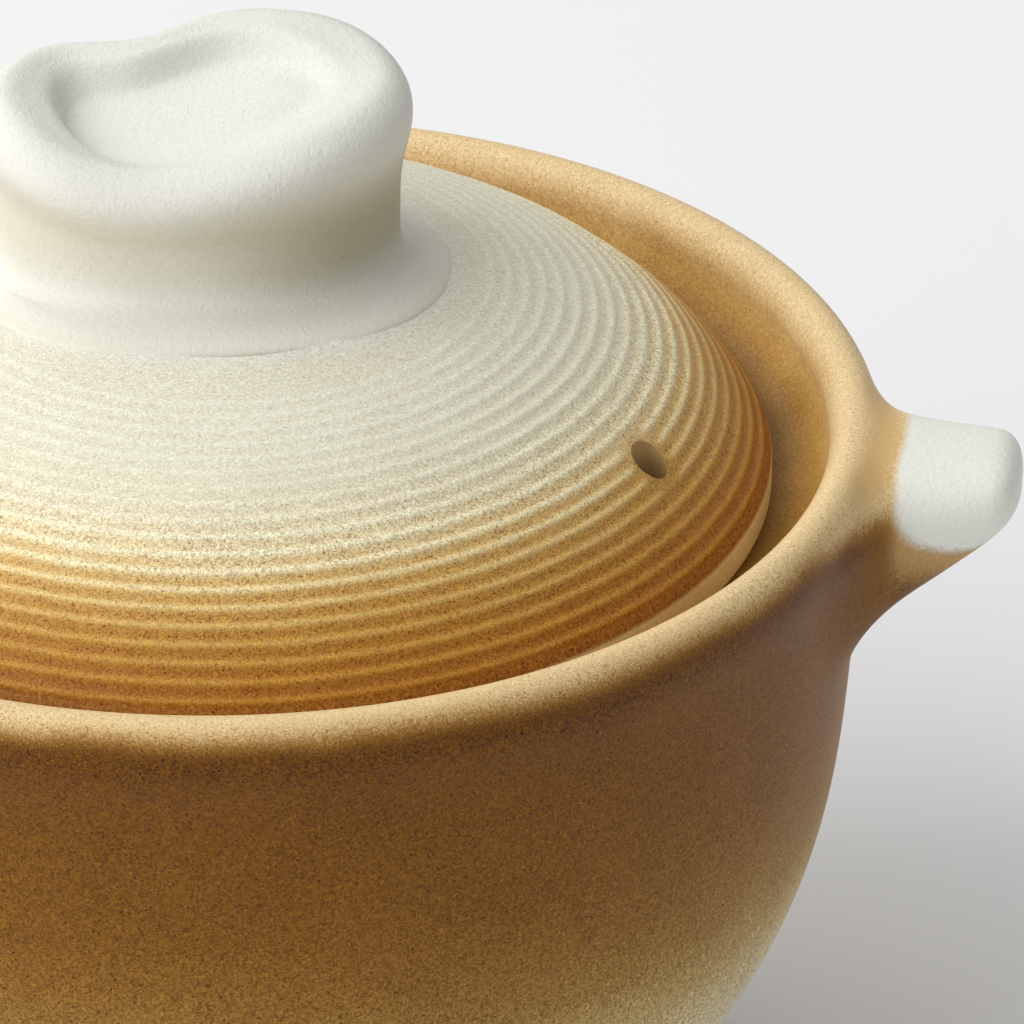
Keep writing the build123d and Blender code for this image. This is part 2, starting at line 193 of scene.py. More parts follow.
FLOOR_SHARES = (
    (0.429, 0.000), (0.382, 0.198), (0.227, 0.347), (0.025, 0.371), (-0.255, 0.248),
    (-0.460, 0.228), (-0.559, 0.030), (-0.453, -0.337), (-0.161, -0.520), (0.196, -0.347),
)
LIP_SHARES = (1.0, 0.95, 1.0, 1.0, 0.91, 0.86, 1.0, 1.05, 1.1, 1.1)
HOLLOW_FLOOR_SHARE = 0.760
HOLLOW_CLIMB_SHARES = (0.16, 0.20)
NECK_RING_SHARES = ((0.75, 0.0), (0.3, 0.3), (0.08, 0.8), (0.0, 1.6), (0.0, 2.7))
SHOULDER_RING_SHARES = (0.22, 0.6)
CREST_RING_SHARES = (0.55, 0.35)
HOLLOW_RING_SHARES = (0.5, 0.75)
LIP_TURN_SHARES = (0.74, 0.33)
FLANGE_SLOPE_SHARES = (0.5, 0.4)
# Rings of the flange's edge: how far in from it, in edge widths, and how high over the lid's skin
FLANGE_RING_SHARES = ((0.5, -1.4), (0.0, -0.5), (0.0, 0.05), (0.4, 0.5), (1.2, 0.8))
# How much of the flange's rise over the dome's sides is left at each ring of the neck
NECK_LIFT_SHARES = (1.0, 0.8, 0.5, 0.2, 0.0)
HOLLOW_DISH = 0.3
KNOB_COLUMNS = 180
KNOB_ROWS = 160

# How finely the profiles are cut: steps in millimetres, and counts
UNDERSIDE_STEP = 2.5
WALL_STEP = 1.7
EAR_WALL_STEP = 0.75
TRACE_STEP = 0.4
FORM_STEP = 0.25
RIM_STEP = 0.6
GUTTER_STEP = 1.0
BOWL_STEP = 3.0
RIDGE_STEP = 0.27
LID_EDGE_STEP = 0.2
LID_SIDE_STEP = 0.6
LID_FOOT_STEP = 0.25
LID_LIP_STEPS = (2.0, 0.4)
LID_UNDER_STEPS = (2.5, 4.0)
CROWN_ROWS = 24
UNDER_ROWS = 9
TRACE_ROWS = 400
SHARP_ANGLE = 40.0
TINY = 1e-9
GAUGE_LEAST = 1e-6

RIM_MIDDLE = RIM_RADIUS - RIM_THICKNESS / 2
RIM_SIDE = RIM_HEIGHT - RIM_ROLL
LEDGE_RADIUS = LID_RADIUS - LEDGE_INSET
EAR_FINE_FROM = RIM_HEIGHT - EAR_ROOT_DEPTH - EAR_MARGIN
LID_TOP_EDGE = SEAT_HEIGHT + LID_EDGE
VENT_OUT = (cos(radians(VENT_TURN)), sin(radians(VENT_TURN)))
VENT_X, VENT_Y = ((LID_RADIUS - VENT_INSET) * share for share in VENT_OUT)
FLANGE_LENGTH = KNOB_LENGTH + 2 * FLANGE_ENDS
FLANGE_WIDTH = KNOB_WIDTH + 2 * FLANGE_SIDES
FLANGE_OFFSET = KNOB_OFFSET + FLANGE_SHIFT
FLANGE_MIDDLE_REACH = FLANGE_WIDTH / 2 - FLANGE_LAP

# The view of the photograph
CAMERA_PLACE = (0.1528, -1.04325, 0.69325)
CAMERA_AZIMUTH = 6.0
CAMERA_TILT = 29.033
CAMERA_LENS = 280.57
CAMERA_SENSOR = 36.0

# The studio, in metres: colours as they look on a screen, levels where 1 is white, and two soft lamps
FLOOR_COLOUR = (249, 249, 250)
BACKDROP_LEVEL = 0.87
WORLD_LEVEL = 0.34
FLOOR_REACH = 6.0
FLOOR_ROUGHNESS = 0.9
FLOOR_GLOSS = 0.1
LAMP_DISTANCE = 3.2
LAMP_SIZE = 3.4
# Each lamp's turn to the left of straight behind, its height in degrees and its power in watts
KEY_LAMP = (122.0, 37.0, 88.0)
BACK_LAMP = (60.0, 55.0, 42.0)

# Glaze colours, as they look on a screen. The pot's run down from its rim in millimetres, with a minus
# inside, where the stops darken towards the ledge as painted shade under the lid
POT_GLAZE_AND_GUTTER_SHADE = (
    (-40, (150, 108, 56)), (-14.5, (112, 82, 26)), (-13, (138, 101, 38)), (-11, (176, 132, 64)),
    (-8.5, (206, 165, 94)), (-6, (226, 189, 122)), (-3.5, (236, 205, 148)), (-1, (236, 210, 160)),
    (1, (228, 198, 144)), (2.6, (162, 118, 56)), (4.2, (106, 66, 8)), (6, (103, 61, 3)), (10, (112, 69, 6)),
    (24, (122, 78, 13)), (38, (129, 85, 20)), (48, (143, 100, 36)), (58, (156, 119, 55)),
    (66, (180, 151, 92)), (76, (208, 190, 144)), (90, (224, 216, 190)), (128, (228, 220, 198)),
)
GLOSS_LEVEL = 0.16
# Coarse and fine grain of the glazes: size, detail, roughness and swirl
GRAIN = (0.5, 3.0, 0.75, 0.8)
FINE_GRAIN = (0.25, 2.0)
POT_WARMTH = 0.55
LID_WARMTH = 0.8
POT_ROUGHNESS = 0.44
TIP_ROUGHNESS = 0.58
LID_ROUGHNESS = 0.47
KNOB_ROUGHNESS = 0.62
CLAY_ROUGHNESS = 0.85
# How deep each surface's fine relief is, in millimetres
POT_RELIEF = 0.05
LID_RELIEF = 0.04
KNOB_RELIEF = 0.16
CLAY_RELIEF = 0.08
EAR_WHITE = (240, 241, 231)
EAR_AMBER = (214, 174, 112)
EAR_AMBER_REACH = 7.0
EAR_AMBER_SHARE = 0.75
EAR_BAND_SHARE = 0.85
EAR_VALLEY = (146, 98, 28)
EAR_VALLEY_SHARE = 0.5
EAR_CREAM_DROP = 3.8
# The lid's run outwards from its middle
LID_COLOURS = (
    (0, (230, 226, 207)), (50, (230, 226, 204)), (58, (231, 224, 196)), (62, (232, 220, 185)),
    (66, (232, 213, 168)), (69, (217, 184, 121)), (72, (200, 157, 86)), (75, (187, 139, 63)),
    (78, (176, 121, 45)), (80, (166, 110, 38)), (82, (159, 103, 35)), (90, (156, 101, 34)),
)
LID_EDGE_COLOUR = (240, 224, 184)
# Where round the lid its colour stays pale furthest down, in degrees: partly glaze sprayed thinner there,
# partly a painted reflection of the pale surroundings at grazing views
PALE_AND_SHEEN_SIDE = 150.0
KNOB_WHITE = (232, 231, 222)
# The knob's neck: partly thinner glaze, partly painted shade under the lip, then the painted shade on the
# neck's right side
KNOB_NECK_THIN_AND_SHADE = (223, 219, 202)
KNOB_NECK_SHADE = (186, 179, 154)
BARE_CLAY = (190, 158, 106)


# Curves

def slopes(knots, points, start=None, end=None, closed=False):
    """The tangents of a cubic spline at its knots: natural ends unless a tangent is given, or closed."""
    count = len(knots) - 1 if closed else len(knots)
    gaps = np.diff(knots)
    rises = np.diff(points, axis=0)
    matrix = np.zeros((count, count))
    right = np.zeros((count,) + points.shape[1:])
    for k in range(count):
        if not closed and k in (0, count - 1):
            given, beside, gap = (start, 1, 0) if k == 0 else (end, count - 2, -1)
            if given is None:
                matrix[k, k] = 2
                matrix[k, beside] = 1
                right[k] = 3 * rises[gap] / gaps[gap]
            else:
                matrix[k, k] = 1
                right[k] = given
            continue
        before, after = gaps[k - 1], gaps[k]
        matrix[k, (k - 1) % count] += after
        matrix[k, k] += 2 * (before + after)
        matrix[k, (k + 1) % count] += before
        ahead = (points[(k + 1) % count] - points[k]) / after
        behind = (points[k] - points[(k - 1) % count]) / before
        right[k] = 3 * (before * ahead + after * behind)
    flat = np.linalg.solve(matrix, right.reshape(count, -1))
    return flat.reshape(right.shape)


def along_spline(knots, points, tangents, places):
    """Points of a cubic spline at places measured like its knots."""
    span = np.clip(np.searchsorted(knots, places, side="right") - 1, 0, len(knots) - 2)
    gap = knots[span + 1] - knots[span]
    t = (places - knots[span]) / gap
    shape = (-1,) + (1,) * (points.ndim - 1)
    t, gap = t.reshape(shape), gap.reshape(shape)
    count = len(points)
    a, b = points[span], points[(span + 1) % count]
    p, q = tangents[span] * gap, tangents[(span + 1) % count] * gap
    bend = t * t * (3 - 2 * t)
    return a + (b - a) * bend + p * t * (1 - t) ** 2 - q * t * t * (1 - t)


def chords(points):
    """Running length of the straight lines through a list of points."""
    return np.concatenate([[0], np.cumsum(np.linalg.norm(np.diff(points, axis=0), axis=-1))])


def recut(line, lengths, places):
    """Points of a line at other places along it."""
    return np.stack([np.interp(places, lengths, line[:, k]) for k in (0, 1)], -1)


def spline(points, step, start=None, end=None):
    """A smooth open line through profile points, cut at about the given step."""
    points = np.array(points, float)
    knots = chords(points)
    unit = [None if v is None else np.array(v) / hypot(*v) for v in (start, end)]
    tangents = slopes(knots, points, *unit)
    count = max(2, round(knots[-1] / step))
    return along_spline(knots, points, tangents, np.linspace(0, knots[-1], count + 1))


def straight(first, last, step):
    """Points along a straight stretch."""
    count = max(1, round(hypot(last[0] - first[0], last[1] - first[1]) / step))
    return np.linspace(first, last, count + 1)


def arc(middle, radii, first, last, step):
    """Points of an elliptical arc from one angle to another, in degrees."""
    turn = np.radians(np.linspace(first, last, 61))
    fine = np.stack([middle[0] + radii[0] * np.cos(turn), middle[1] + radii[1] * np.sin(turn)], -1)
    lengths = chords(fine)
    count = max(3, round(lengths[-1] / step))
    return recut(fine, lengths, np.linspace(0, lengths[-1], count + 1))


def joined(*stretches):
    """One line from stretches that meet end to end."""
    return np.concatenate([stretches[0]] + [stretch[1:] for stretch in stretches[1:]])


# Meshes

def mesh_piece(name, points, faces, attributes=None):
    """A mesh object at the origin from points in millimetres, smooth shaded."""
    mesh = bpy.data.meshes.new(name)
    mesh.from_pydata(np.asarray(points) * MM, [], faces)
    for key, values in (attributes or {}).items():
        layer = mesh.attributes.new(key, "FLOAT", "POINT")
        layer.data.foreach_set("value", np.asarray(values, np.float32))
    mesh.polygons.foreach_set("use_smooth", np.ones(len(mesh.polygons), bool))
    mesh.update()
    piece = bpy.data.objects.new(name, mesh)
    bpy.context.scene.collection.objects.link(piece)
    return piece


def turned_faces(rows, columns):
    """Faces of a turned form: quads between its rings, and a fan to each of its two poles."""
    here = np.arange(columns)
    following = (here + 1) % columns
    near = np.arange(rows - 1)[:, None] * columns
    far = near + columns
    quads = np.stack([near + here, near + following, far + following, far + here], -1)
    first_pole = np.full(columns, rows * columns)
    last_ring = (rows - 1) * columns
    first_fan = np.stack([following, here, first_pole], -1)
    last_fan = np.stack([last_ring + here, last_ring + following, first_pole + 1], -1)
    return quads.reshape(-1, 4).tolist() + first_fan.tolist() + last_fan.tolist()


def turned_points(profile, angles):
    """Points of a turned form, ring by ring, from a profile without its two points on the axis."""
    across = profile[:, 0][:, None]
    heights = np.broadcast_to(profile[:, 1][:, None], (len(profile), len(angles)))
    return np.stack([across * np.cos(angles), across * np.sin(angles), heights], -1)


# Values in a node tree

def tint(red, green, blue):
    """A colour written as it looks on a screen, 0 to 255, as the tree wants it."""
    shares = [c / 255 for c in (red, green, blue)]
    return (*[c / 12.92 if c <= 0.04045 else ((c + 0.055) / 1.055) ** 2.4 for c in shares], 1)


def feed(tree, socket, value):
    """Links a socket to a value of the tree, or sets it to a plain one."""
    if isinstance(value, Signal):
        tree.links.new(value.socket, socket)
    else:
        socket.default_value = value


class Signal:
    """One socket of a node tree, which takes plain arithmetic."""

    def __init__(self, tree, socket=None):
        self.tree = tree
        self.socket = socket

    def node(self, kind, settings=None, values=None, output=0):
        """Any node: its settings are set first, then the values or links of its sockets."""
        made = self.tree.nodes.new(kind)
        for key, value in (settings or {}).items():
            setattr(made, key, value)
        for key, value in (values or {}).items():
            feed(self.tree, made.inputs[key], value)
        return Signal(self.tree, made.outputs[output])

    def math(self, operation, *others):
        """A sum, or another operation, on this value and others."""
        return self.node("ShaderNodeMath", {"operation": operation}, dict(enumerate((self, *others))))

    __add__ = partialmethod(math, "ADD")
    __sub__ = partialmethod(math, "SUBTRACT")
    __mul__ = partialmethod(math, "MULTIPLY")
    __truediv__ = partialmethod(math, "DIVIDE")
    __pow__ = partialmethod(math, "POWER")
    least = partialmethod(math, "MINIMUM")
    most = partialmethod(math, "MAXIMUM")

    def __rsub__(self, other):
        return self.node("ShaderNodeMath", {"operation": "SUBTRACT"}, {0: other, 1: self})

    def rise(self, first, last):
        """0 below the first value and 1 above the last, with a soft step between."""
        settings = {"interpolation_type": "SMOOTHSTEP"}
        return self.node("ShaderNodeMapRange", settings, {"Value": self, "From Min": first, "From Max": last})

    def scaled(self, amount):
        """A vector made longer or shorter."""
        return self.node("ShaderNodeVectorMath", {"operation": "SCALE"}, {0: self, "Scale": amount})

    def parts(self):
        """The three parts of a place."""
        split = self.node("ShaderNodeSeparateXYZ", None, {0: self}).socket.node
        return [Signal(self.tree, split.outputs[k]) for k in range(3)]

    def attribute(self, name):
        """A value that the mesh carries at each of its points."""
        return self.node("ShaderNodeAttribute", {"attribute_name": name}, None, "Fac")

    def plain(self, colour):
        """One plain colour, written as it looks on a screen."""
        made = self.node("ShaderNodeRGB")
        made.socket.default_value = tint(*colour)
        return made

    def noise(self, size, detail=2.0, roughness=0.5, swirl=0.0):
        """Cloudy noise of 0 to 1 with features of about this size, on a place in millimetres."""
        values = {
            "Vector": self, "Scale": 1 / size, "Detail": detail, "Roughness": roughness, "Distortion": swirl,
        }
        return self.node("ShaderNodeTexNoise", None, values)

    def ramp(self, stops):
        """Colours along a value, from (value, colour) stops."""
        low, high = stops[0][0], stops[-1][0]
        made = self.node("ShaderNodeValToRGB", None, {0: (self - low) / (high - low)})
        elements = made.socket.node.color_ramp.elements
        while len(elements) < len(stops):
            elements.new(0.5)
        for element, (value, colour) in zip(elements, stops):
            element.position = (value - low) / (high - low)
            element.color = tint(*colour)
        return made

    def towards(self, other, share):
        """This colour mixed towards another."""
        values = {0: share, 6: self, 7: other if isinstance(other, Signal) else tint(*other)}
        return self.node("ShaderNodeMix", {"data_type": "RGBA"}, values, 2)

    def shaded(self, amount, warmth=0.0):
        """This colour made lighter or darker by a value about 1, with warmth browner where it is darker."""
        change = (amount - 1.0) * warmth
        parts = {0: amount.most(0.0), 1: (change * 0.5 + amount).most(0.0), 2: (change + amount).most(0.0)}
        shade = self.node("ShaderNodeCombineXYZ", None, parts)
        settings = {"data_type": "RGBA", "blend_type": "MULTIPLY"}
        return self.node("ShaderNodeMix", settings, {0: 1.0, 6: self, 7: shade}, 2)


# The pot's profile

def wall_points():
    """The outer wall from the top of the foot ring to where the rim starts to round over."""
    foot_top = (FOOT_RADIUS, FOOT_HEIGHT)
    return [foot_top] + [(r * RIM_RADIUS, z * RIM_HEIGHT) for r, z in WALL_SHARES] + [(RIM_RADIUS, RIM_SIDE)]


def inset(points, depth):
    """Profile points moved inwards, square to the line through their neighbours."""
    moved = []
    for before, point, after in zip(points, points[1:], points[2:]):
        along = (after[0] - before[0], after[1] - before[1])
        reach = depth / hypot(*along)
        moved.append((point[0] - along[1] * reach, point[1] + along[0] * reach))
    return moved


def underside(step):
    """The recess, the foot ring and its rounded edges, from the axis outwards."""
    inside = FOOT_RADIUS - FOOT_WIDTH
    fine = FOOT_ROUND / 4
    return joined(
        straight((0, FOOT_RECESS), (inside, FOOT_RECESS), step),
        straight((inside, FOOT_RECESS), (inside, FOOT_ROUND), FOOT_RECESS / 3),
        arc((inside + FOOT_ROUND, FOOT_ROUND), (FOOT_ROUND, FOOT_ROUND), 180, 270, fine),
        straight((inside + FOOT_ROUND, 0), (FOOT_RADIUS - FOOT_ROUND, 0), FOOT_WIDTH / 5),
        arc((FOOT_RADIUS - FOOT_ROUND, FOOT_ROUND), (FOOT_ROUND, FOOT_ROUND), 270, 360, fine),
        straight((FOOT_RADIUS, FOOT_ROUND), (FOOT_RADIUS, FOOT_HEIGHT), FOOT_RECESS / 3),
    )


def gallery(step):
    """From the inside of the rim down the hollow gutter, across the ledge and down its inner face."""
    foot = LID_RADIUS + GUTTER_GAP
    reach = RIM_RADIUS - RIM_THICKNESS - foot
    ledge = (LEDGE_RADIUS + LEDGE_ROUND, SEAT_HEIGHT - LEDGE_ROUND)
    return joined(
        arc((foot, RIM_SIDE), (reach, RIM_SIDE - SEAT_HEIGHT), 0, -90, step),
        straight((foot, SEAT_HEIGHT), (ledge[0], SEAT_HEIGHT), step),
        arc(ledge, (LEDGE_ROUND, LEDGE_ROUND), 90, 180, step / 2),
        straight((LEDGE_RADIUS, ledge[1]), (LEDGE_RADIUS, SEAT_HEIGHT - LEDGE_DEPTH), step),
    )


def bowl(step):
    """The inside of the pot, from under the ledge to the middle of its floor."""
    inner = inset(wall_points(), WALL)[:INNER_WALL_COUNT]
    inner.reverse()
    floor = FOOT_RECESS + FLOOR
    ledge_foot = (LEDGE_RADIUS, SEAT_HEIGHT - LEDGE_DEPTH)
    blend = ((ledge_foot[0] + inner[0][0]) / 2, (ledge_foot[1] + inner[0][1]) / 2)
    floor_edge = (inner[-1][0] * FLOOR_EDGE_SHARE, floor + FLOOR_DISH)
    return spline([ledge_foot, blend, *inner, floor_edge, (0, floor)], step, (0, -1), (-1, 0))


def pot_profile():
    """The profile from under the pot to its floor inside, and how many points come before the wall."""
    wall = spline(wall_points(), TRACE_STEP, (WALL_LEAN_SHARE, 1), (0, 1))
    lengths = chords(wall)
    fine_from = np.interp(EAR_FINE_FROM, wall[:, 1], lengths)
    fine_length = lengths[-1] - fine_from
    coarse = np.linspace(0, fine_from, round(fine_from / WALL_STEP) + 1)
    fine = np.linspace(fine_from, lengths[-1], round(fine_length / EAR_WALL_STEP) + 1)
    wall = recut(wall, lengths, np.concatenate([coarse, fine[1:]]))
    under = underside(UNDERSIDE_STEP)
    rim = arc((RIM_MIDDLE, RIM_SIDE), (RIM_THICKNESS / 2, RIM_ROLL), 0, 180, RIM_STEP)
    return joined(under, wall, rim, gallery(GUTTER_STEP), bowl(BOWL_STEP)), len(under)


# The ears, as distances in millimetres from smooth forms

def steady_min(first, second, blend):
    """The lesser of two distances, rounded where they meet."""
    share = np.clip(0.5 + 0.5 * (second - first) / blend, 0, 1)
    return second * (1 - share) + first * share - blend * share * (1 - share)


class OuterForm:
    """The pot's outer wall and rim, joined softly to the right ear."""

    def __init__(self):
        wall = spline(wall_points(), FORM_STEP, (WALL_LEAN_SHARE, 1), (0, 1))
        self.heights = wall[:, 1]
        self.radii = wall[:, 0]
        slope = np.gradient(self.radii, self.heights)
        self.level = 1 / np.sqrt(1 + slope ** 2)

    def pot(self, p):
        """How far a point lies outside the wall and rim."""
        radius = np.hypot(p[..., 0], p[..., 1])
        height = p[..., 2]
        beside = radius - np.interp(height, self.heights, self.radii)
        beside = beside * np.interp(height, self.heights, self.level)
        across = radius - RIM_MIDDLE
        up = height - RIM_SIDE
        distance = np.hypot(across, up) + TINY
        edge = distance / np.hypot(across / (RIM_THICKNESS / 2), up / RIM_ROLL)
        return np.where(up > 0, distance - edge, beside)

    def ear(self, p):
        """How far a point lies outside the ear."""
        along = p[..., 0]
        share = np.clip((along - RIM_MIDDLE) / (EAR_REACH - RIM_MIDDLE), -EAR_RUN_ON, 1)
        into_nose = np.maximum(0, along - (EAR_REACH - EAR_NOSE)) / EAR_NOSE
        closing = (1 - np.minimum(1, into_nose) ** EAR_NOSE_POWER) ** (1 / EAR_NOSE_POWER)
        top = RIM_HEIGHT - EAR_ROOT_DROP - (EAR_TIP_DROP - EAR_ROOT_DROP) * share
        thinning = 1 - np.maximum(0, 1 - share) ** EAR_UNDERSIDE_POWER
        bottom = RIM_HEIGHT - EAR_ROOT_DEPTH + (EAR_ROOT_DEPTH - EAR_TIP_DEPTH) * thinning
        middle = (top + bottom) / 2 - EAR_NOSE_DROP * (1 - closing)
        half_height = (top - bottom) / 2
        up = p[..., 2] - middle
        past = along - RIM_MIDDLE
        past = (past + np.hypot(past, EAR_FLARE_START)) / 2
        flare = EAR_FLARE * np.exp(-past / EAR_FLARE_LENGTH)
        half_width = (EAR_ROOT_WIDTH + (EAR_TIP_WIDTH - EAR_ROOT_WIDTH) * share) / 2
        upper = np.clip(0.5 + up / half_height / 2, 0, 1)
        half_width = half_width + flare * upper * upper * (3 - 2 * upper)
        gauge = np.abs(p[..., 1] / half_width) ** EAR_ROUNDNESS + np.abs(up / half_height) ** EAR_ROUNDNESS
        gauge = gauge ** (EAR_NOSE_POWER / EAR_ROUNDNESS) + into_nose ** EAR_NOSE_POWER
        gauge = gauge ** (1 / EAR_NOSE_POWER)
        distance = np.sqrt(p[..., 1] ** 2 + up ** 2 + (into_nose * EAR_NOSE) ** 2) + TINY
        return distance * (1 - 1 / np.maximum(gauge, GAUGE_LEAST))

    def both(self, p):
        """How far a point lies outside the pot with its ear, which are blended more softly further down."""
        depth = np.clip((RIM_HEIGHT - p[..., 2]) / EAR_BLEND_DEPTH, 0, 1)
        blend = EAR_BLEND_TOP + (EAR_BLEND - EAR_BLEND_TOP) * depth
        return steady_min(self.pot(p), self.ear(p), blend)

    def settle(self, p, rounds=SETTLE_ROUNDS):
        """Points moved onto the joined form."""
        for _ in range(rounds):
            value = self.both(p)
            probes = SETTLE_PROBE * np.eye(3)
            slope = np.stack([self.both(p + probe) - self.both(p - probe) for probe in probes], -1)
            slope = slope / (2 * SETTLE_PROBE)
            push = value / np.maximum((slope ** 2).sum(-1), SETTLE_SLOPE)
            p = p - np.clip(push, -SETTLE_STRIDE, SETTLE_STRIDE)[..., None] * slope
        return p


# The pot with its ears

def ear_columns():
    """Angles round the pot: close together at each ear, wider between, alike on all four quarters."""
    half = (EAR_ROOT_WIDTH / 2 + EAR_FLARE + EAR_MARGIN) / RIM_RADIUS
    near = np.linspace(-half, half, 2 * EAR_COLUMNS + 1)
    between = np.linspace(half, pi - half, SIDE_COLUMNS + 1)[1:-1]
    return np.concatenate([near, between, pi + near, pi + between])


def ear_seed(across, up):
    """A first place on the ear for each spot of its patch: across and up run from -1 to 1 over the patch."""
    reach = (np.abs(across) ** EAR_ROUNDNESS + np.abs(up) ** EAR_ROUNDNESS) ** (1 / EAR_ROUNDNESS) + TINY
    t = np.clip(1 - reach / PATCH_ROOT_SHARE, 0, 1)
    out = np.minimum(1, t / SEED_FULL_LENGTH)
    along = RIM_RADIUS + (EAR_REACH - RIM_RADIUS) * np.sin(out * pi / 2)
    narrowing = np.maximum(0, t - SEED_NARROWS) / (1 - SEED_NARROWS)
    size = np.sqrt(np.clip(1 - narrowing ** 2, 0, 1))
    share = (along - RIM_MIDDLE) / (EAR_REACH - RIM_MIDDLE)
    top = RIM_HEIGHT - EAR_ROOT_DROP - (EAR_TIP_DROP - EAR_ROOT_DROP) * share
    bottom = top - EAR_ROOT_DEPTH + (EAR_ROOT_DEPTH - EAR_TIP_DEPTH) * share
    half_width = (EAR_ROOT_WIDTH + (EAR_TIP_WIDTH - EAR_ROOT_WIDTH) * share) / 2
    y = half_width * size * across / reach
    z = (top + bottom) / 2 + (top - bottom) / 2 * size * up / reach
    return np.stack([along, y, z], -1), t


def pot_grid():
    """The pot's skin on rows of its profile and columns round it, ears pulled out, and its crest's row."""
    profile, under_count = pot_profile()
    profile = profile[1:-1]
    grid = turned_points(profile, ear_columns())
    crest = int(np.argmax(profile[:, 1]))
    rows = np.arange(under_count - 1, crest + PATCH_ROWS_PAST_CREST + 1)
    rows = rows[profile[rows, 1] > EAR_FINE_FROM]
    columns = np.arange(2 * EAR_COLUMNS + 1)
    lengths = chords(profile)[rows]
    up = 2 * (lengths - lengths[0]) / (lengths[-1] - lengths[0]) - 1
    across, up = np.meshgrid(np.linspace(-1, 1, len(columns)), up)
    right = np.ix_(rows, columns)
    patch = grid[right]
    seed, t = ear_seed(across, up)
    form = OuterForm()
    patch = np.where((t > 0)[..., None], seed, patch)
    inner = (slice(1, -1), slice(1, -1))
    patch[inner] = form.settle(patch[inner])
    for _ in range(RELAX_ROUNDS):
        level = (patch[:-2, 1:-1] + patch[2:, 1:-1] + patch[1:-1, :-2] + patch[1:-1, 2:]) / 4
        evened = patch[inner] * (1 - RELAX_SHARE) + level * RELAX_SHARE
        patch[inner] = form.settle(evened, SETTLE_AGAIN_ROUNDS)
    grid[right] = patch
    left = columns[::-1] + 2 * EAR_COLUMNS + SIDE_COLUMNS
    grid[np.ix_(rows, left)] = patch * np.array([-1, 1, 1])
    return grid, crest


def glaze_line(points):
    """How far each point lies inside the white glaze that each ear's tip was dipped in."""
    beyond = np.abs(points[..., 0]) - WHITE_FROM - WHITE_SLANT * points[..., 1]
    above = points[..., 2] - WHITE_LOWEST
    return steady_min(beyond, above, WHITE_CORNER), above


def make_pot(glaze):
    """The pot's body and both ears as one closed skin, as the potter smooths them together."""
    grid, crest = pot_grid()
    rows, columns = grid.shape[:2]
    poles = [(0, 0, FOOT_RECESS), (0, 0, FOOT_RECESS + FLOOR)]
    points = np.concatenate([grid.reshape(-1, 3), poles])
    drop = RIM_HEIGHT - points[:, 2]
    inside = np.concatenate([np.repeat(np.arange(rows) > crest, columns), [False, True]])
    white, above = glaze_line(points)
    attributes = {"drop": np.where(inside, -drop, drop), "white": white, "above": above}
    piece = mesh_piece("glazed_pot", points, turned_faces(rows, columns), attributes)
    piece.data.set_sharp_from_angle(angle=radians(SHARP_ANGLE))
    piece.data.materials.append(glaze)
    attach(piece, "pot")
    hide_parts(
        "pot_floor", "pot_lower_wall", "pot_wall", "pot_ledge", "pot_rim", "ear_right", "ear_left",
    )


# The lid

def dome_slope(radius):
    """How steeply the dome falls outwards at a radius."""
    span = LID_RADIUS - CROWN_RADIUS
    t = (LID_RADIUS - radius) / span
    return (DOME_SHARES[0] + 2 * DOME_SHARES[1] * t + 3 * DOME_SHARES[2] * t * t) * DOME_HEIGHT / span


def dome(radius):
    """Height of the lid's outer skin, with the ridges left out."""
    t = (LID_RADIUS - radius) / (LID_RADIUS - CROWN_RADIUS)
    side = DOME_HEIGHT * (DOME_SHARES[0] * t + DOME_SHARES[1] * t ** 2 + DOME_SHARES[2] * t ** 3)
    crown = DOME_HEIGHT + dome_slope(CROWN_RADIUS) * (CROWN_RADIUS ** 2 - radius ** 2) / (2 * CROWN_RADIUS)
    return LID_TOP_EDGE + np.where(radius < CROWN_RADIUS, crown, side)


def skin(radius, depth=0.0):
    """A point of the lid's outer skin, or of a surface that lies that far under it."""
    slope = dome_slope(max(radius, CROWN_RADIUS)) * min(1, radius / CROWN_RADIUS)
    fall = hypot(1, slope)
    return (radius - depth * slope / fall, float(dome(radius)) - depth / fall)


def lid_profile():
    """The lid's profile from its crown over the edge to the middle underneath, and its ridges' rows."""
    edge_from = LID_RADIUS - LID_EDGE_ROUND
    crown = np.array([skin(r) for r in np.linspace(0, RIDGE_START, CROWN_ROWS)])
    crown[crown[:, 0] < FLANGE_MIDDLE_REACH, 1] = skin(FLANGE_MIDDLE_REACH)[1] - FLANGE_THICKNESS
    side = np.array([skin(r) for r in np.linspace(RIDGE_START, edge_from, TRACE_ROWS)])
    lengths = chords(side)
    ridge_length = lengths[-1]
    side = recut(side, lengths, np.linspace(0, ridge_length, round(ridge_length / RIDGE_STEP) + 1))
    side_top = (LID_RADIUS, LID_TOP_EDGE - LID_EDGE_ROUND)
    foot = (LID_RADIUS - LID_EDGE_ROUND, SEAT_HEIGHT + LID_EDGE_ROUND)
    reach = LID_RADIUS - LID_WALL
    under = [skin(r, LID_WALL) for r in np.linspace(reach, CROWN_RADIUS, UNDER_ROWS)]
    lip = (under[0][0] + LID_EDGE_ROUND, SEAT_HEIGHT)
    under_slope = (-1, dome_slope(under[0][0]))
    profile = joined(
        crown,
        side,
        spline([side[-1], side_top], LID_EDGE_STEP, (1, -dome_slope(edge_from)), (0, -1)),
        straight(side_top, (LID_RADIUS, foot[1]), LID_SIDE_STEP),
        arc(foot, (LID_EDGE_ROUND, LID_EDGE_ROUND), 0, -90, LID_FOOT_STEP),
        straight((foot[0], SEAT_HEIGHT), lip, LID_LIP_STEPS[0]),
        straight(lip, under[0], LID_LIP_STEPS[1]),
        spline(under, LID_UNDER_STEPS[0], under_slope, (-1, 0)),
        straight(under[-1], (0, under[-1][1]), LID_UNDER_STEPS[1]),
    )
    return profile, len(crown) - 1, len(crown) + len(side) - 2, ridge_length


